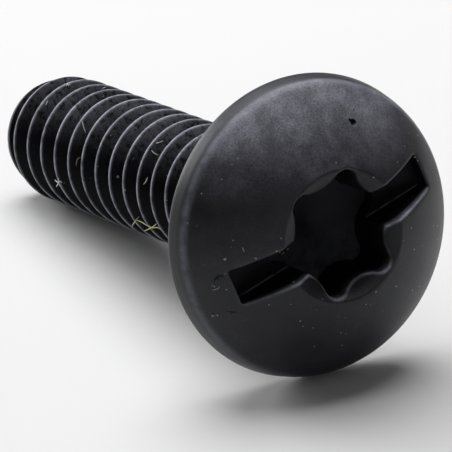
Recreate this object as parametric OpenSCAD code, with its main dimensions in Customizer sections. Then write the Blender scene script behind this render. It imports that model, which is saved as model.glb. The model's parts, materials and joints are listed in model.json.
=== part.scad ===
// Truss-head machine screw, six-lobe and slot combination drive, lying at rest on its rim and thread.
// Millimetres, +Z up. Inside the modules the screw stands on its own axis: bearing face at z = 0, head above.

/* [Head] */
// Widest diameter of the head, at the foot of its rim
head_d = 10.96; // [9:0.02:13]
// Head height, from the bearing face to where the dome's top would be
head_h = 3.45; // [2.8:0.05:4.4]
// Height of the edge between rim and dome
rim_h = 0.98; // [0.6:0.02:1.2]
// How far the dome's edge stands in from the widest diameter
rim_inset = 0.12; // [0.05:0.01:0.3]
// Rounding of the rim's lower edge
rim_round = 0.25; // [0.1:0.01:0.35]

/* [Drive] */
// Six-lobe recess across opposite lobe tips
lobe_tip_d = 4.6; // [4:0.05:5.2]
// How far each lobe reaches out past the flats between them
lobe_h = 0.52; // [0.5:0.01:0.7]
// Radius of each lobe's end
lobe_r = 0.44; // [0.32:0.01:0.46]
// Recess depth at the lobe tips, below the lip
drive_depth = 2.1; // [1.4:0.05:2.2]
// Extra depth of the coned floor at its centre
drive_cone_h = 0.5; // [0.2:0.05:0.7]
// Clearance from the lobe tips to the lip's chamfer circle
lip_gap = 0.08; // [0.04:0.01:0.2]
// Depth of the lip's chamfer at the flats between the lobes
lip_h = 0.22; // [0.1:0.01:0.3]
// Slot width
slot_w = 1.36; // [1.1:0.01:1.7]
// Slot length, end to end
slot_len = 8.32; // [7.4:0.02:9]
// Slot depth below the dome, at its ends
slot_depth = 0.68; // [0.4:0.02:0.9]
// How far above the screw's axis the drive is struck, as the screw lies
drive_off = 0.18; // [0:0.01:0.25]
// Turn of the drive about the screw's axis, from straight down as the screw lies
drive_turn = 108.7; // [90:0.1:130]

/* [Shank] */
// Major diameter of the thread
thread_d = 4.7; // [4.4:0.02:4.8]
// Thread pitch, 24 threads to the inch
pitch = 1.0583; // [0.9:0.0001:1.2]
// Thread depth on one side
thread_h = 0.64; // [0.5:0.01:0.7]
// Length under the head
length = 18.65; // [14:0.05:26]
// Diameter of the plain neck under the head
neck_d = 4.14; // [3.9:0.02:4.2]
// Length of the plain neck
neck_len = 0.9; // [0.7:0.05:1.4]
// Fillet between neck and head
neck_fillet = 0.36; // [0.34:0.01:0.5]
// Length over which the thread fades out below the neck
runout_len = 0.5; // [0.3:0.05:0.8]
// Length of the tapered tip
tip_len = 1.2; // [0.9:0.05:1.5]
// How far the tip's taper comes in on one side
tip_inset = 0.36; // [0.2:0.02:0.5]
// A crest's distance below the bearing face on the bottom line, less than a pitch
crest_start = 0.2; // [0:0.01:0.8]

/* [Hidden] */
$fn = 96;
DOME_FN = 240;
SEG = 36;
HALF_SEG = 180 / SEG;
RIM_TURN = 2.5;
SPARE_TURNS = 2;
FLANK = 30;
CRESTS_PER_PITCH = 8;
ROOT_MIN = 0.03;
LOBES = 6;
LOBE_SEG = 8;
FLAT_SEG = 6;
ARC_GAP = 4;
MORE = 0.1;
COAT = [0.05, 0.05, 0.055];

head_r = head_d / 2;
dome_edge_r = head_r - rim_inset;
dome_rise = head_h - rim_h;
dome_r = (dome_edge_r * dome_edge_r + dome_rise * dome_rise) / (2 * dome_rise);
function dome_z(r) = head_h - dome_r + sqrt(dome_r * dome_r - r * r);

lobe_root_r = lobe_tip_d / 2 - lobe_h;
lobe_c = lobe_tip_d / 2 - lobe_r;
lobe_step = 360 / LOBES;
lobe_in = lobe_c * cos(lobe_step / 2);
flat_r = (lobe_c * lobe_c + lobe_root_r * lobe_root_r - 2 * lobe_in * lobe_root_r - lobe_r * lobe_r)
    / (2 * (lobe_r - lobe_root_r + lobe_in));
flat_c = lobe_root_r + flat_r;
lobe_turn = atan2(flat_c * sin(lobe_step / 2), flat_c * cos(lobe_step / 2) - lobe_c);
lip_r = lobe_tip_d / 2 + lip_gap;
lip_z = dome_z(lip_r);
lip_slope = lip_h / (lip_r - lobe_root_r);
slot_z = dome_z(slot_len / 2) - slot_depth;
// Where the lip's chamfer meets the dome straight below the axis, the head's foremost point
lip_rise = lip_z - lip_slope * (lip_r - drive_off) - head_h + dome_r;
lip_x = (sqrt((1 + lip_slope * lip_slope) * dome_r * dome_r - lip_rise * lip_rise) - lip_slope * lip_rise)
    / (1 + lip_slope * lip_slope);

thread_r = thread_d / 2;
root_r = thread_r - thread_h;
neck_r = neck_d / 2;
crest_w = pitch / CRESTS_PER_PITCH;
flank_w = min(thread_h * tan(FLANK), (pitch - crest_w) / 2 - ROOT_MIN);
turns = ceil(length / pitch) + SPARE_TURNS;

// The screw lies on its rim's lower edge and on a flat of the last full crest's mesh, at the bottom line.
// The thread's mesh is turned so that this flat lies level across the helix's lead.
crests = floor((length - tip_len - crest_w / 2 - crest_start) / pitch);
lean = atan2(head_r - thread_r, crest_start + pitch * crests);
flat_turn = HALF_SEG + asin(pitch * tan(lean) / (2 * SEG * thread_r * sin(HALF_SEG)));
last_crest = crest_start + pitch * (crests + flat_turn / 360) + crest_w / 2;
rest_r = thread_r * cos(flat_turn);
reach = rim_round + last_crest;
drop = head_r - rim_round - rest_r;
tilt = atan2(drop, reach) + asin(rim_round / sqrt(reach * reach + drop * drop));
lift = last_crest * sin(tilt) + rest_r * cos(tilt);
tip_r = thread_r - tip_inset;
low_x = -length * cos(tilt) - tip_r * sin(tilt);
high_x = dome_z(lip_x) * cos(tilt) + lip_x * sin(tilt);

function arc(c, r, from, to, n) =
    [for (i = [0 : n]) let (a = from + (to - from) * i / n) c + r * [cos(a), sin(a)]];
function lobe_side(a) = concat(
    arc(lobe_c * [cos(a), sin(a)], lobe_r, a - lobe_turn, a + lobe_turn, LOBE_SEG),
    arc(flat_c * [cos(a + lobe_step / 2), sin(a + lobe_step / 2)], flat_r,
        a + 180 + lobe_turn - ARC_GAP, a + 180 + lobe_step - lobe_turn + ARC_GAP, FLAT_SEG));
function lobe_outline() = [for (k = [0 : LOBES - 1], p = lobe_side(lobe_step * k)) p];

// Helical thread: each turn has four lines, root end, crest start, crest end and root start.
// A fan of faces to a point on the axis closes each end.
LINES = [[root_r, -crest_w / 2 - flank_w], [thread_r, -crest_w / 2],
    [thread_r, crest_w / 2], [root_r, crest_w / 2 + flank_w]];
LAST = len(LINES) - 1;
STEPS = turns * SEG;
TOP = STEPS - SEG;
function thread_point(i, j) = let (a = 360 * i / SEG - flat_turn)
    [LINES[j][0] * cos(a), LINES[j][0] * sin(a), pitch * (a / 360 + 1 - turns) - crest_start + LINES[j][1]];
function at(i, j) = i * len(LINES) + j;
LOW_END = at(STEPS + 1, 0);
HIGH_END = LOW_END + 1;
thread_points = concat(
    [for (i = [0 : STEPS], j = [0 : LAST]) thread_point(i, j)],
    [[0, 0, thread_point(0, 0)[2]], [0, 0, thread_point(STEPS, LAST)[2]]]);
function quad(a, b, c, d) = [[a, b, c], [c, b, d]];
thread_faces = concat(
    [for (i = [0 : STEPS - 1], j = [0 : LAST - 1],
        f = quad(at(i, j), at(i, j + 1), at(i + 1, j), at(i + 1, j + 1))) f],
    [for (i = [0 : TOP - 1], f = quad(at(i, LAST), at(i + SEG, 0), at(i + 1, LAST), at(i + SEG + 1, 0))) f],
    [for (i = [0 : SEG - 1]) [LOW_END, at(i, 0), at(i + 1, 0)]],
    [for (j = [0 : LAST - 1]) [LOW_END, at(0, j + 1), at(0, j)]],
    [[LOW_END, at(SEG, 0), at(0, LAST)]],
    [for (i = [TOP : STEPS - 1]) [HIGH_END, at(i + 1, LAST), at(i, LAST)]],
    [for (j = [0 : LAST - 1]) [HIGH_END, at(STEPS, j), at(STEPS, j + 1)]],
    [[HIGH_END, at(TOP, LAST), at(STEPS, 0)]]);

// Turned by half a step of its mesh, so that a flat of the rim and not a corner lies underneath
module blank() {
    rotate([0, 0, RIM_TURN]) rotate_extrude() difference() {
        intersection() {
            union() {
                polygon([[0, -neck_len], [neck_r, -neck_len], [neck_r, -neck_fillet],
                    [neck_r + neck_fillet, -neck_fillet], [neck_r + neck_fillet, 0], [head_r - rim_round, 0],
                    [head_r - rim_round, rim_round], [head_r, rim_round], [dome_edge_r, rim_h],
                    [dome_edge_r, head_h + MORE], [0, head_h + MORE]]);
                translate([head_r - rim_round, rim_round]) circle(r = rim_round);
            }
            translate([0, head_h - dome_r]) circle(r = dome_r, $fn = DOME_FN);
        }
        translate([neck_r + neck_fillet, -neck_fillet]) circle(r = neck_fillet);
    }
}

module thread() {
    wide_r = thread_r + MORE;
    intersection() {
        polyhedron(thread_points, thread_faces, convexity = 10);
        rotate_extrude() polygon([[0, -length], [tip_r, -length],
            [wide_r, -length + tip_len * (tip_inset + MORE) / tip_inset],
            [wide_r, -neck_len - runout_len], [root_r, -neck_len + MORE], [0, -neck_len + MORE]]);
    }
}

module drive() {
    clear_z = head_h + MORE;
    intersection() {
        linear_extrude(height = clear_z) polygon(lobe_outline());
        rotate_extrude() polygon([[0, lip_z - drive_depth - drive_cone_h], [lip_r, lip_z - drive_depth],
            [lip_r, clear_z], [0, clear_z]]);
    }
    translate([0, 0, lip_z - lip_slope * lip_r]) cylinder(h = 2 * lip_slope * lip_r, r1 = 0, r2 = 2 * lip_r);
    translate([-slot_len / 2, -slot_w / 2, slot_z]) cube([slot_len, slot_w, clear_z - slot_z]);
}

module screw() {
    color(COAT) translate([-(low_x + high_x) / 2, 0, lift]) rotate([0, 90 - tilt, 0]) union() {
        difference() {
            blank();
            translate([-drive_off, 0, 0]) rotate([0, 0, drive_turn]) drive();
        }
        thread();
    }
}

screw();
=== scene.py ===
"""Looks of a black truss-head machine screw: a smooth mesh with rounded edges stands for the CAD node."""

import json
import math

import bmesh
import bpy
import numpy as np
from mathutils import Matrix, Vector
from mathutils.bvhtree import BVHTree
from mathutils.geometry import delaunay_2d_cdt


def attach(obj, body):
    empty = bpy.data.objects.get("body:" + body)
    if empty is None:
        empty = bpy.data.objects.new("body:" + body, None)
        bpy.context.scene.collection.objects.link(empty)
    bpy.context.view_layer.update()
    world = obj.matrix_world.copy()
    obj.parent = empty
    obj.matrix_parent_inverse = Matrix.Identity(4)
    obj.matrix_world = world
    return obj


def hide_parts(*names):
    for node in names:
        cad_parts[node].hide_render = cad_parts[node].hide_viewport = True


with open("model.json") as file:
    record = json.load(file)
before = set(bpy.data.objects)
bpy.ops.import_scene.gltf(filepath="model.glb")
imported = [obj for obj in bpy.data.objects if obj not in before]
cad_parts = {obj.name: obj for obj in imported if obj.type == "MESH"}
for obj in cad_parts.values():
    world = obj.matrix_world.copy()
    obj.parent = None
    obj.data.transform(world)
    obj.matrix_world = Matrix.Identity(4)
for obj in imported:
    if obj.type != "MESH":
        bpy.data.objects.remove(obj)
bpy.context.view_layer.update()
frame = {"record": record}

MM = 0.001

# Sizes in millimetres, as in the part's source. In the screw's own frame the bearing face is at z = 0, the
# head is above it, and x points down as the screw lies.
HEAD_R = 5.48
HEAD_H = 3.45
RIM_H = 0.98
DOME_EDGE_R = 5.36
RIM_ROUND = 0.25
LOBES = 6
LOBE_TIP_R = 2.3
LOBE_H = 0.52
LOBE_R = 0.44
DRIVE_DEPTH = 2.1
DRIVE_CONE_H = 0.5
LIP_R = 2.38
LIP_H = 0.22
SLOT_W = 1.36
SLOT_LEN = 8.32
SLOT_DEPTH = 0.68
DRIVE_OFF = 0.18
DRIVE_TURN = math.radians(108.7)
THREAD_R = 2.35
PITCH = 1.0583
CRESTS_PER_PITCH = 8
FLANK_ANGLE = math.radians(30)
THREAD_H = 0.64
LENGTH = 18.65
NECK_R = 2.07
NECK_LEN = 0.9
NECK_FILLET = 0.36
RUNOUT_LEN = 0.5
TIP_LEN = 1.2
TIP_INSET = 0.36
CREST_START = 0.2

# Roundings of edges that the source leaves sharp, and the slant of the recess's walls
EDGE_ROUND = 0.12
DOME_EDGE_ROUND = 0.36
SLOT_CORNER = 0.1
WALL_DRAFT = 0.03
LIP_BLEND = 0.02
THREAD_ROUND = 0.035
TIP_ROUND = 0.12
TIP_BLEND = 0.03

# Marks on the head's top, in the drive's own frame: pits as (x, y, radius, depth), and the grooves beside
# one end of the slot by three points of each
PITS = [(2.38, 3.06, 0.13, 0.26), (2.31, 3.19, 0.07, 0.13), (2.7, 3.33, 0.035, 0.06)]
GROOVES = [
    [(-4.64, 0.53), (-4.5, 0.63), (-4.31, 0.66)],
    [(-4.67, -0.66), (-4.52, -0.84), (-4.32, -0.89)],
]
GROOVE_R = 0.05
GROOVE_DEPTH = 0.06

# Wear and painted highlights, as shares of bare metal colour. The thread's crests carry wear and a painted
# highlight from a share of its depth up.
CREST_WEAR_AND_HIGHLIGHT = 0.44
CREST_FROM = 0.955
# The edges of recess and slot carry wear and, where they face up, a painted highlight, in a line of this
# half width, down to a depth below the dome
EDGE_WEAR_AND_HIGHLIGHT = 0.72
UPPER_EDGE_WORN = 0.06
EDGE_MIDDLE = EDGE_ROUND / 3
EDGE_WIDTH = 0.06
WORN_DEPTH = 0.6
# They have painted glints where recess and slot meet, and less wear towards the slot's ends
CORNER_GLINT = 3
CORNER_REACH = 0.25
SLOT_END_WORN = 0.3
SLOT_WORN_REACH = 1.0
# A painted highlight along the foot of the slot's lower wall, and a painted pool of light on the recess's
# floor
FOOT_HIGHLIGHT = 0.3
FOOT_FACING = 0.5
FLOOR_LIGHT_POOL = 0.085
# The shares of a wall's height over which the wear of its lip and the painted highlight of its foot fade
# out, and how far the painted highlight of its foot reaches onto the floor
LIP_FADE = 0.2
FOOT_FADE = 0.07
FOOT_REACH = 0.06
# The dome's edge carries wear and a painted highlight, brightest at its top: the mean around it, and how
# far it swings either way
DOME_EDGE_WEAR_AND_HIGHLIGHT = 0.28
DOME_EDGE_WIDTH = 0.24
DOME_EDGE_MEAN = 0.6
DOME_EDGE_SWING = 0.4
# Wear and a painted highlight along the rim's lower rounded edge
RIM_WEAR_AND_HIGHLIGHT = 0.22

# Dust and painted sheen: the thread's and the rim's share of the dome's, and how deep in the recess it
# ends, which paints shade there
THREAD_DUST = 0.72
RIM_DUST = 0.14
DUST_SHADE_DEPTH = 0.28

# How finely the mesh is cut: around the axis, on the head's top, along the rim's profile and on the thread
AROUND = 192
DOME_GRID = 0.11
GRID_CLEAR = 0.6
LEAST_AROUND = 6
LOBE_STEPS = 20
FLAT_STEPS = 14
SLOT_STEP = 0.12
SLOT_CORNER_STEPS = 4
EDGE_ANGLES = (0, 22.5, 45, 67.5, 90)
PIT_SIDES = 14
PIT_RINGS = (0.4, 0.75, 1, 1.3)
GROOVE_STEPS = 12
GROOVE_LINES = (-1, -0.5, 0, 0.5, 1)
GROOVE_SAMPLES = 40
TOP_INSET = 0.5
DOME_EDGE_STEPS = 9
RIM_STEPS = 4
RIM_ROUND_STEPS = 8
UNDERSIDE_STEPS = 5
FILLET_STEPS = 7
THREAD_LINES = (0.04, 0.07, 0.105, 0.22, 0.34, 0.42, 0.465)
THREAD_SAMPLES = 9
SPARE_TURNS = 3
TIP_RINGS = (1, 0.97, 0.9, 0.5)
SAME_POINT = 1e-5
MERGE_GAP = 1e-4
LEAST_EDGE = 1e-5
SHARP_ANGLE = math.radians(40)

# Derived sizes
DOME_RISE = HEAD_H - RIM_H
DOME_R = (DOME_EDGE_R**2 + DOME_RISE**2) / (2 * DOME_RISE)
QUARTER = math.pi / 2
LOBE_ANGLE = 2 * math.pi / LOBES
LOBE_ROOT_R = LOBE_TIP_R - LOBE_H
LOBE_C = LOBE_TIP_R - LOBE_R
LOBE_IN = LOBE_C * math.cos(LOBE_ANGLE / 2)
FLAT_R = (LOBE_C**2 + LOBE_ROOT_R**2 - 2 * LOBE_IN * LOBE_ROOT_R - LOBE_R**2) / (
    2 * (LOBE_R - LOBE_ROOT_R + LOBE_IN)
)
FLAT_C = LOBE_ROOT_R + FLAT_R
FLAT_X, FLAT_Y = FLAT_C * math.cos(LOBE_ANGLE / 2), FLAT_C * math.sin(LOBE_ANGLE / 2)
LOBE_TURN = math.atan2(FLAT_Y, FLAT_X - LOBE_C)
LIP_SLOPE = LIP_H / (LIP_R - LOBE_ROOT_R)
ROOT_R = THREAD_R - THREAD_H
TIP_R = THREAD_R - TIP_INSET
CREST_W = PITCH / CRESTS_PER_PITCH
FLANK_W = THREAD_H * math.tan(FLANK_ANGLE)
TOP_R = DOME_EDGE_R - TOP_INSET
ANGLES = np.linspace(0, 2 * math.pi, AROUND, endpoint=False) + DRIVE_TURN


def dome(r):
    """Height of the dome at a distance from the axis."""
    return HEAD_H - DOME_R + np.sqrt(DOME_R**2 - r**2)


LIP_Z = float(dome(LIP_R))
SLOT_Z = float(dome(SLOT_LEN / 2)) - SLOT_DEPTH


def soft_min(a, b, k):
    """The smaller of two values, with a smooth change over within k."""
    h = np.clip(0.5 + (b - a) / (2 * k), 0, 1)
    return b + (a - b) * h - k * h * (1 - h)


def fall(distance, reach):
    """From 1 at no distance to 0 at reach."""
    return np.clip(1 - np.abs(distance) / reach, 0, 1)


# The head's top, as a height over its plane, with the drive's axes along x and y and its centre at 0

TURN_COS, TURN_SIN = math.cos(DRIVE_TURN), math.sin(DRIVE_TURN)
AXIS_X, AXIS_Y = DRIVE_OFF * TURN_COS, -DRIVE_OFF * TURN_SIN


def axis_distance(x, y):
    return np.hypot(x - AXIS_X, y - AXIS_Y)


def lobe_distance(x, y):
    """Distance outside the six-lobe outline, negative inside."""
    r, a = np.hypot(x, y), np.arctan2(y, x)
    a = np.abs((a + LOBE_ANGLE / 2) % LOBE_ANGLE - LOBE_ANGLE / 2)
    x, y = r * np.cos(a), r * np.sin(a)
    at_lobe = (FLAT_X - LOBE_C) * y < FLAT_Y * (x - LOBE_C)
    return np.where(
        at_lobe,
        np.hypot(x - LOBE_C, y) - LOBE_R,
        FLAT_R - np.hypot(x - FLAT_X, y - FLAT_Y),
    )


def slot_distance(x, y):
    """Distance outside the slot's rounded rectangle, negative inside."""
    qx = np.abs(x) - SLOT_LEN / 2 + SLOT_CORNER
    qy = np.abs(y) - SLOT_W / 2 + SLOT_CORNER
    outside = np.hypot(np.maximum(qx, 0), np.maximum(qy, 0))
    return outside + np.minimum(np.maximum(qx, qy), 0) - SLOT_CORNER


def edge_drop(d):
    """How far a rounded edge falls below its face, at distance d from the wall."""
    e = EDGE_ROUND - np.clip(d, 0, EDGE_ROUND)
    return EDGE_ROUND - np.sqrt(EDGE_ROUND**2 - e**2)


def groove_line(groove, steps, aside=0.0):
    """Points along a groove, on the curve through its three points, moved aside by a distance."""
    start, middle, end = map(np.array, groove)
    bend = 2 * middle - (start + end) / 2
    t = np.linspace(0, 1, steps)[:, None]
    line = (1 - t) ** 2 * start + 2 * t * (1 - t) * bend + t**2 * end
    along = np.gradient(line, axis=0)
    along /= np.linalg.norm(along, axis=1)[:, None]
    return line + aside * np.stack([-along[:, 1], along[:, 0]], axis=1)


def mark_drop(x, y):
    """How far the pits and grooves sink the head's top."""
    drop = 0 * x
    for px, py, r, depth in PITS:
        drop = np.maximum(drop, depth * (1 - (np.hypot(x - px, y - py) / r) ** 2))
    for groove in GROOVES:
        line = groove_line(groove, GROOVE_SAMPLES)
        d = np.hypot(x[:, None] - line[:, 0], y[:, None] - line[:, 1])
        along = 2 * d.argmin(axis=1) / (len(line) - 1) - 1
        across = d.min(axis=1) / GROOVE_R
        drop = np.maximum(drop, GROOVE_DEPTH * (1 - along**2) * (1 - across**2))
    return drop


def head_top(x, y):
    """Height of the head's top with its drive and marks."""
    r = np.hypot(x, y)
    top = soft_min(dome(axis_distance(x, y)), LIP_Z - LIP_SLOPE * (LIP_R - r), LIP_BLEND)
    d_lobe, d_slot = lobe_distance(x, y), slot_distance(x, y)
    z = top - edge_drop(np.minimum(d_lobe, d_slot)) - mark_drop(x, y)
    z = SLOT_Z + (z - SLOT_Z) * np.clip(d_slot / WALL_DRAFT + 1, 0, 1)
    floor = LIP_Z - DRIVE_DEPTH - DRIVE_CONE_H * (1 - r / LIP_R)
    return floor + (z - floor) * np.clip(d_lobe / WALL_DRAFT + 1, 0, 1)


def arc(cx, cy, r, start, end, steps):
    """Points on an arc, without its end."""
    a = np.linspace(start, end, steps, endpoint=False)
    return np.stack([cx + r * np.cos(a), cy + r * np.sin(a)], axis=1)


def lobe_line(grow):
    """The six-lobe outline moved out by grow."""
    parts = []
    for k in range(LOBES):
        lobe, flat = LOBE_ANGLE * k, LOBE_ANGLE * (k + 0.5)
        x, y = LOBE_C * math.cos(lobe), LOBE_C * math.sin(lobe)
        parts.append(arc(x, y, LOBE_R + grow, lobe - LOBE_TURN, lobe + LOBE_TURN, LOBE_STEPS))
        x, y = FLAT_C * math.cos(flat), FLAT_C * math.sin(flat)
        start = lobe + math.pi + LOBE_TURN
        end = lobe + math.pi + LOBE_ANGLE - LOBE_TURN
        parts.append(arc(x, y, FLAT_R - grow, start, end, FLAT_STEPS))
    return np.concatenate(parts)


def slot_line(grow):
    """The slot's outline moved out by grow."""
    hx, hy = SLOT_LEN / 2 - SLOT_CORNER, SLOT_W / 2 - SLOT_CORNER
    r = SLOT_CORNER + grow
    corners = [(hx, hy), (-hx, hy), (-hx, -hy), (hx, -hy)]
    parts = []
    for k, (cx, cy) in enumerate(corners):
        start, end = QUARTER * k, QUARTER * k + QUARTER
        parts.append(arc(cx, cy, r, start, end, SLOT_CORNER_STEPS))
        nx, ny = corners[(k + 1) % len(corners)]
        steps = max(2, round(math.hypot(nx - cx, ny - cy) / SLOT_STEP))
        t = np.linspace(0, 1, steps, endpoint=False)[:, None]
        out = r * np.array([math.cos(end), math.sin(end)])
        parts.append(np.array([cx, cy]) + t * np.array([nx - cx, ny - cy]) + out)
    return np.concatenate(parts)


def ring(r, n):
    return arc(0, 0, r, 0, 2 * math.pi, n)


def axis_ring(r, n):
    return ring(r, n) + np.array([AXIS_X, AXIS_Y])


def edge_rows():
    """Distances from the walls of recess and slot at which lines run along them."""
    foot = [-WALL_DRAFT - FOOT_REACH, -WALL_DRAFT, -WALL_DRAFT * (1 - FOOT_FADE)]
    rounding = [EDGE_ROUND * (1 - math.cos(math.radians(a))) for a in EDGE_ANGLES]
    return foot + [-WALL_DRAFT * LIP_FADE] + rounding


def head_top_loops(outer_r):
    """Closed lines of the head's top: outer ring, lip, edges of recess and slot, and pits."""
    loops = [axis_ring(outer_r, AROUND)]
    loops += [ring(LIP_R + s, AROUND) for s in (-2 * LIP_BLEND, 0, 2 * LIP_BLEND)]
    loops += [line(row) for row in edge_rows() for line in (lobe_line, slot_line)]
    for px, py, r, _ in PITS:
        loops += [ring(r * s, PIT_SIDES) + np.array([px, py]) for s in PIT_RINGS]
    return loops


def head_top_fill(outer_r, chains):
    """Points in rings over the dome, except those close to a line."""
    rings = []
    for k in range(1, round(outer_r / DOME_GRID)):
        r = outer_r - k * DOME_GRID
        rings.append(axis_ring(r, max(LEAST_AROUND, round(2 * math.pi * r / DOME_GRID))))
    fill = np.concatenate(rings)
    x, y = fill.T
    clear = DOME_GRID * GRID_CLEAR
    near = np.abs(np.hypot(x, y) - LIP_R) < clear
    for distance in (lobe_distance(x, y), slot_distance(x, y)):
        near |= (distance > -WALL_DRAFT - clear) & (distance < EDGE_ROUND + clear)
    for px, py, r, _ in PITS:
        near |= np.hypot(x - px, y - py) < PIT_RINGS[-1] * r + clear
    for px, py in np.concatenate(chains):
        near |= np.hypot(x - px, y - py) < clear
    return fill[~near]


def head_top_mesh(outer_r):
    """Triangles of the head's top out to outer_r, with lines along every edge of the recess."""
    loops = head_top_loops(outer_r)
    chains = [groove_line(g, GROOVE_STEPS, s * GROOVE_R) for g in GROOVES for s in GROOVE_LINES]
    points, edges = [], []
    for lines, closed in ((loops, True), (chains, False)):
        for line in lines:
            first, last = len(points), len(points) + len(line) - 1
            points += [Vector(p) for p in line]
            edges += [(i, i + 1) for i in range(first, last)]
            if closed:
                edges.append((last, first))
    points += [Vector(p) for p in head_top_fill(outer_r, chains)]
    made, _, faces, *_ = delaunay_2d_cdt(points, edges, [], 0, SAME_POINT)
    x, y = np.array([tuple(p) for p in made]).T
    z = head_top(x, y)
    x, y = x - AXIS_X, y - AXIS_Y
    x, y = TURN_COS * x - TURN_SIN * y, TURN_SIN * x + TURN_COS * y
    return np.stack([x, y, z], axis=1), [tuple(f) for f in faces]


def drive_distances(x, y):
    """Distances outside the recess and outside the slot, at places in the screw's own frame."""
    x, y = TURN_COS * x + TURN_SIN * y + AXIS_X, TURN_COS * y - TURN_SIN * x + AXIS_Y
    return lobe_distance(x, y), slot_distance(x, y)


def recess_distance(x, y):
    """Distance outside the recess and slot, negative inside, at places in the screw's own frame."""
    return np.minimum(*drive_distances(x, y))


# The rim, underside and neck, turned about the axis from the head's top to the thread


def corner_arc(before, corner, after, cut, steps):
    """Points that round a corner of a profile, starting and ending cut away from it."""
    before, corner, after = map(np.array, (before, corner, after))
    a = corner + (before - corner) / np.linalg.norm(before - corner) * cut
    b = corner + (after - corner) / np.linalg.norm(after - corner) * cut
    t = np.linspace(0, 1, steps)[:, None]
    return (1 - t) ** 2 * a + 2 * t * (1 - t) * corner + t**2 * b


def rim_profile(outer_r):
    """Radius and height along the rim, the underside and the neck."""
    edge_out = (HEAD_R, RIM_ROUND)
    dome_in = (outer_r, float(dome(outer_r)))
    points = [dome_in]
    points += list(corner_arc(dome_in, (DOME_EDGE_R, RIM_H), edge_out, DOME_EDGE_ROUND, DOME_EDGE_STEPS))
    rounded = DOME_EDGE_ROUND / math.hypot(HEAD_R - DOME_EDGE_R, RIM_H - RIM_ROUND)
    for t in np.linspace(rounded, 1, RIM_STEPS)[1:-1]:
        points.append((DOME_EDGE_R + (HEAD_R - DOME_EDGE_R) * t, RIM_H + (RIM_ROUND - RIM_H) * t))
    round_c = HEAD_R - RIM_ROUND
    for a in np.linspace(0, -QUARTER, RIM_ROUND_STEPS):
        points.append((round_c + RIM_ROUND * math.cos(a), RIM_ROUND + RIM_ROUND * math.sin(a)))
    fillet_c = NECK_R + NECK_FILLET
    for r in np.linspace(round_c, fillet_c, UNDERSIDE_STEPS)[1:-1]:
        points.append((r, 0.0))
    for a in np.linspace(QUARTER, math.pi, FILLET_STEPS):
        points.append((fillet_c + NECK_FILLET * math.cos(a), NECK_FILLET * (math.sin(a) - 1)))
    points.append((NECK_R, -NECK_LEN))
    return np.array(points)


def turned_mesh(profile):
    """A profile turned about the axis."""
    r, z = profile[:, :1], profile[:, 1:]
    verts = np.stack([r * np.cos(ANGLES), r * np.sin(ANGLES), z + 0 * ANGLES], axis=2).reshape(-1, 3)
    faces = []
    for i in range(len(profile) - 1):
        for k in range(AROUND):
            n = (k + 1) % AROUND
            p, q = i * AROUND, (i + 1) * AROUND
            faces.append((p + k, q + k, q + n, p + n))
    return verts, faces


# The thread, on lines that follow its helix


def thread_form(u):
    """Radius of the thread at distance u along the axis from a crest, with its corners rounded."""
    total = 0
    for shift in np.linspace(-THREAD_ROUND, THREAD_ROUND, THREAD_SAMPLES):
        off = np.abs((u + shift + PITCH / 2) % PITCH - PITCH / 2)
        total = total + np.clip(1 - (off - CREST_W / 2) / FLANK_W, 0, 1)
    return ROOT_R + THREAD_H * total / THREAD_SAMPLES


def crest_distance(a, z):
    """Distance along the axis from a crest, at an angle around the axis and a height."""
    return z + CREST_START - PITCH * a / (2 * math.pi)


def thread_radius(a, z):
    """Radius of the thread with its run-out and tip, at an angle around the axis and a height."""
    r = thread_form(crest_distance(a, z))
    fade = ROOT_R + (THREAD_R - ROOT_R) * (-NECK_LEN - z) / RUNOUT_LEN
    r = np.minimum(r, np.maximum(fade, ROOT_R))
    neck = NECK_R + (ROOT_R - NECK_R) * np.clip((-NECK_LEN - z) / RUNOUT_LEN, 0, 1)
    tip = TIP_R + (z + LENGTH) * TIP_INSET / TIP_LEN
    tip -= np.clip(TIP_ROUND - (z + LENGTH), 0, TIP_ROUND) ** 2 / TIP_ROUND / 2
    return soft_min(np.maximum(r, neck), tip, TIP_BLEND)


def thread_mesh():
    """The thread from neck to tip; its last column of points meets the first one turn on."""
    lines = np.array(sorted([0, PITCH / 2, *THREAD_LINES] + [-u for u in THREAD_LINES]))
    per_turn = len(lines)
    turns = math.ceil(LENGTH / PITCH) + SPARE_TURNS
    base = -CREST_START - PITCH * np.arange(turns, -1, -1)
    z = (base[:, None] + lines[None, :]).reshape(-1)[None, :] + PITCH * ANGLES[:, None] / (2 * math.pi)
    z = np.clip(z, -LENGTH, -NECK_LEN)
    a = ANGLES[:, None] + 0 * z
    r = thread_radius(a, z)
    verts = np.stack([r * np.cos(a), r * np.sin(a), z], axis=2).reshape(-1, 3)
    rows = z.shape[1]
    faces = []
    for i in range(AROUND):
        last = i == AROUND - 1
        here, there = i * rows, 0 if last else (i + 1) * rows
        step = per_turn if last else 0
        for m in range(rows - 1 - step):
            faces.append((here + m, there + m + step, there + m + step + 1, here + m + 1))
    return verts, faces


def tip_mesh():
    """The tip's end face, in rings down to a centre point."""
    z = np.full(AROUND, -LENGTH)
    r = thread_radius(ANGLES, z)
    rings = [np.stack([r * s * np.cos(ANGLES), r * s * np.sin(ANGLES), z], axis=1) for s in TIP_RINGS]
    verts = np.concatenate(rings + [[[0, 0, -LENGTH]]])
    inner = (len(TIP_RINGS) - 1) * AROUND
    faces = []
    for k in range(AROUND):
        n = (k + 1) % AROUND
        for first in range(0, inner, AROUND):
            faces.append((first + k, first + AROUND + k, first + AROUND + n, first + n))
        faces.append((inner + k, inner + AROUND, inner + n))
    return verts, faces


# Wear and painted highlights, dust and painted sheen, and coats, two of them darker as painted shade, by
# places in the screw's own frame

# The thread's and the recess's coats are darker copies of the head's: painted shade
HEAD_COAT, SHADED_THREAD_COAT, SHADED_RECESS_COAT = range(3)


def on_head_top(r, z):
    return (r < DOME_EDGE_R) & (z > RIM_ROUND)


def depth_below_dome(r, z):
    """How far a place on the head's top lies below the dome, and 0 elsewhere."""
    return on_head_top(r, z) * (dome(np.minimum(r, DOME_EDGE_R)) - z)


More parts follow.
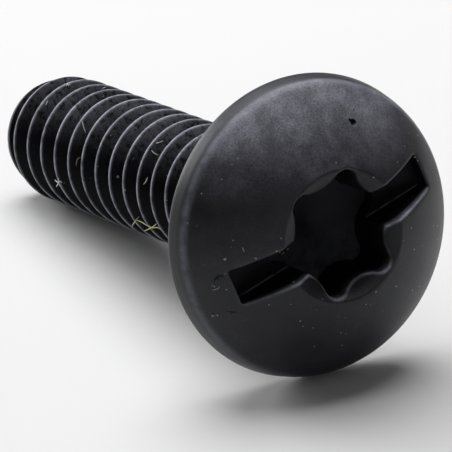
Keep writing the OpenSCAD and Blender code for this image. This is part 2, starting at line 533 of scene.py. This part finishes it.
def recess_wear_and_highlights(x, y, z):
    """Bare metal colour on the edges of recess and slot, as wear with a painted highlight where they face
    up and painted glints where they meet; a painted highlight along the slot's foot and a painted pool of
    light on the recess's floor.
    """
    r = np.hypot(x, y)
    sunk = depth_below_dome(r, z)
    from_lobes, from_slot = drive_distances(x, y)
    edge = np.minimum(from_lobes, from_slot)
    step = EDGE_ROUND / 4
    outward_down = (recess_distance(x + step, y) - recess_distance(x - step, y)) / (2 * step)
    # Painted glints where recess and slot meet
    corner = fall(from_lobes - EDGE_MIDDLE, CORNER_REACH) * fall(from_slot - EDGE_MIDDLE, CORNER_REACH)
    share = SLOT_END_WORN + (1 - SLOT_END_WORN) * fall(from_lobes - EDGE_MIDDLE, SLOT_WORN_REACH)
    share *= 1 + CORNER_GLINT * corner
    # Edges that face up, the lower ones, get a painted highlight; those that face down keep a little wear
    wear_and_highlight = np.clip(EDGE_WEAR_AND_HIGHLIGHT * outward_down, UPPER_EDGE_WORN, EDGE_WEAR_AND_HIGHLIGHT) * share
    wear_and_highlight *= (edge > -WALL_DRAFT * LIP_FADE / 2) * fall(edge - EDGE_MIDDLE, EDGE_WIDTH)
    wear_and_highlight *= fall(sunk, WORN_DEPTH)
    # A painted highlight along the foot of the slot's lower wall
    at_foot = (np.abs(from_slot + WALL_DRAFT) < WALL_DRAFT * FOOT_FADE / 2) & (from_lobes > 0)
    wear_and_highlight += FOOT_HIGHLIGHT * (at_foot & (outward_down > FOOT_FACING))
    # A painted pool of light on the recess's floor, brightest on its lower part
    on_floor = (sunk > DRIVE_DEPTH) & (edge < -WALL_DRAFT)
    wear_and_highlight += FLOOR_LIGHT_POOL * on_floor * fall(x - LOBE_ROOT_R, LOBE_ROOT_R)
    return on_head_top(r, z) * wear_and_highlight


def wear_and_highlight_share(x, y, z):
    """The share of bare metal colour, for wear and painted highlights."""
    r = np.hypot(x, y)
    # The thread's crests: wear and a painted highlight
    on_thread = (z < -NECK_LEN - RUNOUT_LEN / 2) & (z > -LENGTH + TIP_ROUND)
    crest = (thread_form(crest_distance(np.arctan2(y, x), z)) - ROOT_R) / THREAD_H
    wear_and_highlight = CREST_WEAR_AND_HIGHLIGHT * on_thread * fall(1 - crest, 1 - CREST_FROM)
    # The dome's edge: wear, with a painted highlight brighter towards its top
    upward = DOME_EDGE_MEAN - DOME_EDGE_SWING * x / np.maximum(r, ROOT_R)
    wear_and_highlight += DOME_EDGE_WEAR_AND_HIGHLIGHT * upward * fall(np.hypot(r - DOME_EDGE_R, z - RIM_H), DOME_EDGE_WIDTH)
    # Wear and a painted highlight along the rim's lower rounded edge
    wear_and_highlight += RIM_WEAR_AND_HIGHLIGHT * fall(np.hypot(r - HEAD_R + RIM_ROUND / 4, z - RIM_ROUND / 4), RIM_ROUND / 2)
    return wear_and_highlight + recess_wear_and_highlights(x, y, z)


def dust_and_sheen_share(x, y, z):
    """The share of the dome's dust and painted sheen; it fades to none in the recess, which paints shade
    there.
    """
    r = np.hypot(x, y)
    # Dust and painted sheen fade to none below the dome: painted shade in the recess
    on_head = np.where(on_head_top(r, z), fall(depth_below_dome(r, z), DUST_SHADE_DEPTH), RIM_DUST)
    return np.where(z < -NECK_FILLET, THREAD_DUST, on_head)


def coat(x, y, z):
    """Which of the coats covers a place; the thread's and the recess's are darker copies of the head's, as
    painted shade.
    """
    in_recess = (recess_distance(x, y) < 0) & (z > RIM_ROUND)
    return np.where(in_recess, SHADED_RECESS_COAT, np.where(z < -NECK_FILLET, SHADED_THREAD_COAT, HEAD_COAT))


# The whole mesh, put where the screw lies: its axis and place come from the record's mounts

mounts = {m["name"]: m for m in frame["record"]["mounts"]}
axis = -Vector(mounts["thread"]["axis"]).normalized()
side = Vector((0, 1, 0))
down = side.cross(axis)
seat = Vector(mounts["thread"]["pos_m"]) + axis * LENGTH * MM
PLACE = Matrix.Translation(seat) @ Matrix((down, side, axis)).transposed().to_4x4()
PLACE = PLACE @ Matrix.Scale(MM, 4)


def joined(name, parts):
    """One mesh of all parts, with the points that they share merged."""
    verts, faces = [], []
    for v, f in parts:
        first = sum(len(x) for x in verts)
        verts.append(v)
        faces += [tuple(first + i for i in face) for face in f]
    mesh = bpy.data.meshes.new(name)
    mesh.from_pydata(np.concatenate(verts).tolist(), [], faces)
    bm = bmesh.new()
    bm.from_mesh(mesh)
    bmesh.ops.remove_doubles(bm, verts=bm.verts, dist=MERGE_GAP)
    bmesh.ops.dissolve_degenerate(bm, edges=bm.edges, dist=LEAST_EDGE)
    bmesh.ops.recalc_face_normals(bm, faces=bm.faces)
    bm.to_mesh(mesh)
    bm.free()
    return mesh


def places(items, key):
    """The x, y and z of all vertices or faces."""
    values = np.zeros(len(items) * 3)
    items.foreach_get(key, values)
    return values.reshape(-1, 3).T


mesh = joined(
    "screw_body",
    [head_top_mesh(TOP_R), turned_mesh(rim_profile(TOP_R)), thread_mesh(), tip_mesh()],
)
for name, share in (("wear_and_highlight", wear_and_highlight_share), ("dust_and_sheen", dust_and_sheen_share)):
    values = share(*places(mesh.vertices, "co")).astype(np.float32)
    mesh.attributes.new(name, "FLOAT", "POINT").data.foreach_set("value", values)
coats = coat(*places(mesh.polygons, "center")).astype(np.int32)
mesh.polygons.foreach_set("material_index", coats)
mesh.transform(PLACE)
mesh.shade_smooth()
mesh.set_sharp_from_angle(angle=SHARP_ANGLE)
screw = bpy.data.objects.new("screw_body", mesh)
bpy.context.collection.objects.link(screw)
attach(screw, "root")
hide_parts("screw")

# Materials: black oxide, with dust and a painted sheen where it faces up, flecked with lint, with wear and
# painted highlights on crests and edges

BLACK = (0.0055, 0.0055, 0.007)
DUST_SHEEN_COLOR = (0.32, 0.32, 0.38)
WEAR_HIGHLIGHT_COLOR = (0.6, 0.62, 0.74)
FLECK = (0.38, 0.38, 0.37)
SHEEN_TINT = (0.9, 0.92, 1, 1)
# Sockets of the colour mix node: its two colours and its result
MIX_FIRST, MIX_SECOND, MIX_RESULT = 6, 7, 2


class Nodes:
    """A new node material, and short ways to build its tree."""

    def __init__(self, name):
        self.material = bpy.data.materials.new(name)
        self.material.use_nodes = True
        self.tree = self.material.node_tree
        self.shader = self.tree.nodes["Principled BSDF"]
        self.coords = self.add("ShaderNodeTexCoord")

    def add(self, kind, links=(), **settings):
        """A shader node with its settings, and links into it as (input, node, output)."""
        node = self.tree.nodes.new(kind)
        for name, value in settings.items():
            if hasattr(node, name):
                setattr(node, name, value)
            else:
                node.inputs[name.replace("_", " ").title()].default_value = value
        for into, source, out in links:
            self.tree.links.new(source.outputs[out], node.inputs[into])
        return node

    def noise(self, scale, detail, roughness, distortion=0.0):
        return self.add(
            "ShaderNodeTexNoise", [("Vector", self.coords, "Object")],
            scale=scale, detail=detail, roughness=roughness, distortion=distortion,
        )

    def attribute(self, name):
        return self.add("ShaderNodeAttribute", attribute_name=name)

    def spread(self, source, out, low, high, to_low=0.0, to_high=1.0):
        """The source between low and high, brought smoothly to the range from to_low to to_high."""
        node = self.add("ShaderNodeMapRange", [("Value", source, out)], interpolation_type="SMOOTHSTEP")
        ends = {"From Min": low, "From Max": high, "To Min": to_low, "To Max": to_high}
        for name, value in ends.items():
            node.inputs[name].default_value = value
        return node

    def product(self, *factors):
        """All factors multiplied; each is a node and the name of its output."""
        (first, out), *rest = factors
        for node, node_out in rest:
            links = [(0, first, out), (1, node, node_out)]
            first, out = self.add("ShaderNodeMath", links, operation="MULTIPLY"), "Value"
        return first

    def blend(self, share, share_out, first, second):
        """A colour from first to second; each is a colour or a node with a colour result."""
        node = self.add("ShaderNodeMix", [("Factor", share, share_out)], data_type="RGBA")
        for socket, value in ((node.inputs[MIX_FIRST], first), (node.inputs[MIX_SECOND], second)):
            if isinstance(value, tuple):
                socket.default_value = (*value, 1)
            else:
                self.tree.links.new(value.outputs[MIX_RESULT], socket)
        return node

    def into(self, name, node, out):
        self.tree.links.new(node.outputs[out], self.shader.inputs[name])


def black_oxide(name, specular, rough, least_dust_and_sheen):
    """Black oxide of a specular level.

    Small pits and dirt break up its dust, its painted sheen and its surface by rough; what faces up gets
    the most dust and painted sheen, and what faces down the least.
    """
    m = Nodes(name)
    smudge = m.noise(scale=330, detail=5, roughness=0.6)
    cloud = m.noise(scale=1400, detail=4, roughness=0.65, distortion=0.3)
    pitted = m.noise(scale=5200, detail=4, roughness=0.6, distortion=0.4)
    grain = m.noise(scale=15000, detail=2, roughness=0.6)
    patches = m.noise(scale=2500, detail=3, roughness=0.6)
    normal = m.add("ShaderNodeSeparateXYZ", [("Vector", m.add("ShaderNodeNewGeometry"), "Normal")])
    # Dust and a painted sheen, lighter where the surface faces up
    dust_sheen_mix = m.product(
        (m.spread(normal, "Z", low=0.36, high=0.88, to_low=least_dust_and_sheen), "Result"),
        (m.attribute("dust_and_sheen"), "Fac"),
        (m.spread(smudge, "Fac", low=0.36, high=0.66, to_low=0.45), "Result"),
        (m.spread(cloud, "Fac", low=0.3, high=0.68, to_low=0.75, to_high=1.15), "Result"),
        (m.spread(pitted, "Fac", low=0.36, high=0.5, to_low=1 - rough), "Result"),
        (m.spread(grain, "Fac", low=0.3, high=0.7, to_low=0.7, to_high=1.3), "Result"),
    )
    patchy = m.spread(patches, "Fac", low=0.3, high=0.6, to_low=0.35)
    # Bare metal colour for wear and painted highlights
    bare_and_highlight = m.product((m.attribute("wear_and_highlight"), "Fac"), (patchy, "Result"))
    spots = m.add("ShaderNodeTexVoronoi", [("Vector", m.coords, "Object")], scale=4000)
    chosen = m.add("ShaderNodeSeparateColor", [("Color", spots, "Color")])
    flecks = m.product(
        (m.spread(spots, "Distance", low=0.14, high=0.06), "Result"),
        (m.spread(chosen, "Red", low=0.68, high=1), "Result"),
        (m.attribute("dust_and_sheen"), "Fac"),
    )
    color = m.blend(dust_sheen_mix, "Value", BLACK, DUST_SHEEN_COLOR)
    color = m.blend(bare_and_highlight, "Value", color, WEAR_HIGHLIGHT_COLOR)
    m.into("Base Color", m.blend(flecks, "Value", color, FLECK), MIX_RESULT)
    m.into("Roughness", m.spread(smudge, "Fac", low=0.3, high=0.7, to_low=0.34, to_high=0.46), "Result")
    m.shader.inputs["Specular IOR Level"].default_value = specular
    m.shader.inputs["Specular Tint"].default_value = SHEEN_TINT
    fine = m.add("ShaderNodeBump", [("Height", grain, "Fac")], strength=0.12, distance=0.01 * MM)
    links = [("Height", pitted, "Fac"), ("Normal", fine, "Normal")]
    coarse = m.add("ShaderNodeBump", links, strength=rough, distance=0.03 * MM)
    m.into("Normal", coarse, "Normal")
    return m.material


# In the order of the head's coat, the thread's and the recess's; the last two are darker copies, as
# painted shade
mesh.materials.append(black_oxide("black_oxide", specular=0.31, rough=0.05, least_dust_and_sheen=0.05))
mesh.materials.append(black_oxide("thread_painted_shade", specular=0.08, rough=0.8, least_dust_and_sheen=0.005))
mesh.materials.append(black_oxide("recess_painted_shade", specular=0.12, rough=0.3, least_dust_and_sheen=0.02))

# Floor

FLOOR_SIZE = 2.0
FLOOR_COLOR = (0.9, 0.9, 0.9, 1)
FLOOR_ROUGHNESS = 0.7
bpy.ops.mesh.primitive_plane_add(size=FLOOR_SIZE, location=(0, 0, 0))
floor = bpy.context.object
floor.name = "floor"
pale = bpy.data.materials.new("pale_floor")
pale.use_nodes = True
pale_shader = pale.node_tree.nodes["Principled BSDF"]
pale_shader.inputs["Base Color"].default_value = FLOOR_COLOR
pale_shader.inputs["Roughness"].default_value = FLOOR_ROUGHNESS
floor.data.materials.append(pale)

# Camera: the photo's angle, its focal length in pixels, and where it sees the middle of the bearing face

VIEW_AZIMUTH = math.radians(60.43)
VIEW_ELEVATION = math.radians(23.71)
IMAGE_PX = 452
FOCAL_PX = 9000
SEAT_PIXEL = (301.15, 223.75)
SEAT_DEPTH = 0.3191
SENSOR = 36
CLIP_START = 0.01
CLIP_END = 10

right = Vector((math.cos(VIEW_AZIMUTH), math.sin(VIEW_AZIMUTH), 0))
away = Vector((-right.y, right.x, 0))
back = Vector(
    (
        math.sin(VIEW_AZIMUTH) * math.cos(VIEW_ELEVATION),
        -math.cos(VIEW_AZIMUTH) * math.cos(VIEW_ELEVATION),
        math.sin(VIEW_ELEVATION),
    )
)
up = back.cross(right)


def sight(pixel):
    """The line of sight through a pixel, long enough to go one metre straight ahead of the camera."""
    px, py = ((c - IMAGE_PX / 2) / FOCAL_PX for c in pixel)
    return right * px - up * py - back


camera_data = bpy.data.cameras.new("camera")
camera_data.sensor_width = SENSOR
camera_data.lens = FOCAL_PX / IMAGE_PX * SENSOR
camera_data.clip_start = CLIP_START
camera_data.clip_end = CLIP_END
camera = bpy.data.objects.new("camera", camera_data)
bpy.context.collection.objects.link(camera)
camera.location = seat - sight(SEAT_PIXEL) * SEAT_DEPTH
camera.rotation_mode = "QUATERNION"
camera.rotation_quaternion = back.to_track_quat("Z", "Y")
bpy.context.scene.camera = camera

# Lint and crumbs: lines of sight through pixels of the photo find the spots on the screw where they lie

WHITE = (0.9, 0.9, 0.87)
GREY = (0.3, 0.3, 0.29)
GREEN = (0.62, 0.64, 0.3)
TAN = (0.42, 0.31, 0.24)
DIRT_DARK = 0.6
DIRT_ROUGHNESS = 0.8
FIBRE_R = 0.018
FIBRE_SIDES = 6
FIBRE_STEPS = 6
FIBRE_TAPER = 0.7
FIBRE_TAPER_POWER = 3
CRUMB_R = (0.025, 0.055)
CRUMB_UNEVEN = (0.7, 1.2)
CRUMB_LIFT = 0.4
WHITE_FIBRES = {
    "splinter": [(82.2, 121.1), (83.6, 126.5), (85.6, 132.8)],
    "star_left": [(54.6, 179.4), (56.6, 181.6), (58.6, 182.6)],
    "star_right": [(58.2, 182.4), (60.4, 181.4), (62.0, 182.8)],
    "star_up": [(58.8, 178.4), (58.4, 180.4), (58.4, 182.6)],
    "star_down": [(58.6, 182.2), (57.6, 184.6), (56.0, 187.0)],
    "star_low_right": [(58.4, 182.4), (59.6, 184.6), (60.2, 186.4)],
    "tip_tuft": [(66.0, 86.2), (68.5, 84.4), (71.0, 85.8)],
    "tip_hair": [(67.0, 83.2), (68.6, 85.4), (69.0, 87.2)],
    "flank_hair": [(45.8, 105.6), (46.6, 103.2), (48.0, 100.6)],
    "crest_hair": [(102.0, 88.8), (104.0, 87.8), (106.0, 87.6)],
    "groove_hair": [(151.2, 150.2), (154.6, 153.4), (158.4, 155.0)],
    "upper_hair": [(156.2, 143.2), (160.0, 142.4), (163.0, 140.8)],
    "low_hair": [(143.4, 184.4), (145.8, 181.6), (147.6, 177.2)],
}
GREY_FIBRES = {
    "dome_hair": [(242.5, 247.3), (243.4, 249.8), (244.2, 252.0)],
    "dome_curl": [(211.8, 290.3), (215.6, 289.2), (218.4, 288.2), (219.3, 286.2)],
}
GREEN_FIBRES = {
    "branch": [(131.9, 227.0), (133.6, 223.4), (136.1, 220.0), (139.2, 216.2)],
    "strand": [
        (136.3, 220.2), (140.5, 221.5), (146.0, 224.8), (152.2, 227.8), (157.5, 227.5), (164.3, 232.0),
    ],
    "crossing": [(144.0, 231.2), (147.5, 229.6), (152.2, 227.2), (157.2, 223.3)],
}
TAN_FIBRES = {"curl": [(80.6, 157.2), (78.0, 158.6), (76.6, 162.0), (76.1, 166.1)]}
TAN_CRUMBS = {
    "slot_corner_a": (276.6, 251.0),
    "slot_corner_b": (279.6, 251.6),
    "slot_corner_c": (283.0, 252.8),
    "slot_corner_d": (287.0, 249.0),
    "slot_corner_e": (281.4, 254.6),
    "slot_end_a": (415.0, 157.0),
    "slot_end_b": (417.6, 160.6),
    "crest_crumb": (103.3, 96.7),
    "dome_crumb": (256.0, 258.4),
}
GREY_CRUMBS = {
    "dome_a": (225.0, 258.7),
    "dome_b": (212.7, 285.3),
    "dome_c": (212.8, 315.0),
    "dome_d": (217.6, 314.6),
    "slot_edge": (293.6, 282.2),
    "flank_a": (117.8, 176.7),
    "flank_b": (110.6, 135.6),
    "flank_c": (125.2, 190.0),
}
surface = BVHTree.FromPolygons([v.co for v in mesh.vertices], [f.vertices for f in mesh.polygons])


def seen_spot(pixel):
    """Where the line of sight through a pixel meets the screw, and the normal there."""
    spot, normal, *_ = surface.ray_cast(camera.location, sight(pixel).normalized())
    return spot, normal


def smooth_path(points, steps):
    """A curve through all the points."""
    ends = [2 * points[0] - points[1], *points, 2 * points[-1] - points[-2]]
    path = []
    for a, b, c, d in zip(ends, ends[1:], ends[2:], ends[3:]):
        for t in np.arange(steps) / steps:
            point = 2 * b + (c - a) * t
            point += (2 * a - 5 * b + 4 * c - d) * t**2
            point += (3 * b - a - 3 * c + d) * t**3
            path.append(point / 2)
    return path + [points[-1]]


def taut_path(pixels):
    """A fibre's points along the pixels: it touches the screw's high spots and spans what lies between."""
    line = [p for p in smooth_path([Vector(p) for p in pixels], FIBRE_STEPS) if seen_spot(p)[0]]
    depths = [(seen_spot(p)[0] - camera.location).dot(-back) for p in line]
    high = []
    for i, depth in enumerate(depths):
        while len(high) > 1:
            a, b = high[-2:]
            if (depths[b] - depths[a]) * (i - a) < (depth - depths[a]) * (b - a):
                break
            high.pop()
        high.append(i)
    depths = np.interp(range(len(line)), high, [depths[i] for i in high])
    return [camera.location + sight(p) * (d - FIBRE_R * MM) for p, d in zip(line, depths)]


def add_fibre(bm, pixels):
    """A tapered tube that lies on the screw along the pixels."""
    path = taut_path(pixels)
    rings = []
    for i, point in enumerate(path):
        along = (path[min(i + 1, len(path) - 1)] - path[max(i - 1, 0)]).normalized()
        out = along.cross(back).normalized()
        from_middle = abs(2 * i / (len(path) - 1) - 1)
        thick = FIBRE_R * MM * (1 - FIBRE_TAPER * from_middle**FIBRE_TAPER_POWER)
        turn = Matrix.Rotation(2 * math.pi / FIBRE_SIDES, 3, along)
        ring_points = []
        for _ in range(FIBRE_SIDES):
            ring_points.append(bm.verts.new(point + out * thick))
            out = turn @ out
        rings.append(ring_points)
    for a, b in zip(rings, rings[1:]):
        for k in range(FIBRE_SIDES):
            n = (k + 1) % FIBRE_SIDES
            bm.faces.new((a[k], a[n], b[n], b[k]))
    bm.faces.new(rings[0][::-1])
    bm.faces.new(rings[-1])


def add_crumb(bm, pixel, rng):
    """An uneven lump, bedded on the screw at the pixel."""
    spot, normal = seen_spot(pixel)
    size = rng.uniform(*CRUMB_R) * MM
    made = bmesh.ops.create_icosphere(bm, subdivisions=2, radius=size)["verts"]
    for vert in made:
        vert.co = spot + normal * size * CRUMB_LIFT + vert.co * rng.uniform(*CRUMB_UNEVEN)


def dirt(name, color, fibres=(), crumbs=()):
    """One piece of all the fibres and crumbs of a colour, on the screw."""
    rng = np.random.default_rng(len(name))
    bm = bmesh.new()
    for pixels in fibres:
        add_fibre(bm, pixels)
    for pixel in crumbs:
        add_crumb(bm, pixel, rng)
    bmesh.ops.recalc_face_normals(bm, faces=bm.faces)
    data = bpy.data.meshes.new(name)
    bm.to_mesh(data)
    bm.free()
    data.shade_smooth()
    m = Nodes(name)
    mottle = m.noise(scale=9000, detail=2, roughness=0.5)
    dark = tuple(c * DIRT_DARK for c in color)
    m.into("Base Color", m.blend(mottle, "Fac", dark, color), MIX_RESULT)
    m.shader.inputs["Roughness"].default_value = DIRT_ROUGHNESS
    data.materials.append(m.material)
    piece = bpy.data.objects.new(name, data)
    bpy.context.collection.objects.link(piece)
    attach(piece, "root")


dirt("white_lint", WHITE, WHITE_FIBRES.values())
dirt("grey_lint", GREY, GREY_FIBRES.values(), GREY_CRUMBS.values())
dirt("green_lint", GREEN, GREEN_FIBRES.values())
dirt("tan_dirt", TAN, TAN_FIBRES.values(), TAN_CRUMBS.values())

# Light, in metres and watts

WORLD_COLOR = (1, 1, 1, 1)
WORLD_STRENGTH = 0.08


def softbox(name, offset, size, watts):
    """A round area light aimed at the screw, set off to the view's right, up, and away from the camera."""
    data = bpy.data.lights.new(name, "AREA")
    data.shape = "DISK"
    data.size = size
    data.energy = watts
    lamp = bpy.data.objects.new(name, data)
    lamp.location = right * offset[0] + Vector((0, 0, offset[1])) + away * offset[2]
    lamp.rotation_mode = "QUATERNION"
    lamp.rotation_quaternion = lamp.location.to_track_quat("Z", "Y")
    bpy.context.collection.objects.link(lamp)


softbox("top_light", offset=(-0.03, 0.35, 0.16), size=0.4, watts=1.5)
softbox("back_left_panel", offset=(-0.31, 0.13, 0.24), size=0.24, watts=1.1)
softbox("front_fill", offset=(0.14, 0.1, -0.33), size=0.18, watts=0.055)
world = bpy.data.worlds.new("studio")
world.use_nodes = True
background = world.node_tree.nodes["Background"]
background.inputs["Color"].default_value = WORLD_COLOR
background.inputs["Strength"].default_value = WORLD_STRENGTH
bpy.context.scene.world = world
bpy.context.scene.view_settings.view_transform = "Standard"
